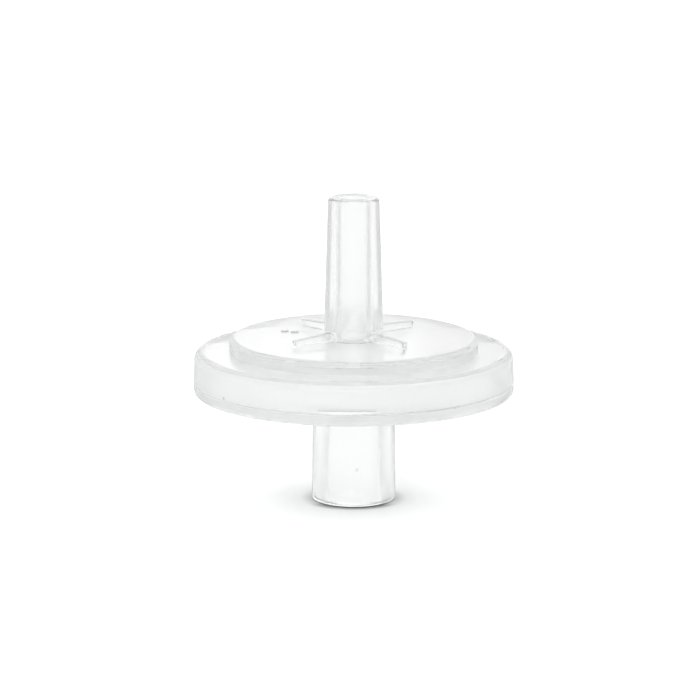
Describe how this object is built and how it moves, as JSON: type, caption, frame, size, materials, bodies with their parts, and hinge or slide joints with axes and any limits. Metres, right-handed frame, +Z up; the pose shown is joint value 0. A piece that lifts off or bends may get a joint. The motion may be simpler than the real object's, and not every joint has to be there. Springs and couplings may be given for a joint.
{
  "type": "syringe filter",
  "caption": "Round clear plastic filter disc with a tapered male outlet on top and a female socket below, welded round a membrane.",
  "frame": {"origin": "centre of the ring that the inlet tube stands on", "axes": "+Z up along the axis of symmetry, from the female inlet to the male outlet; +X to the right and +Y away in the usual view"},
  "size_m": [0.025, 0.025, 0.0239],
  "materials": {
    "clear_shell": "clear natural polypropylene, moulded gloss",
    "membrane": "matt white microporous film"
  },
  "bodies": {
    "root": {"inlet_housing": "clear_shell", "filter_membrane": "membrane", "outlet_housing": "clear_shell"}
  },
  "joints": []
}
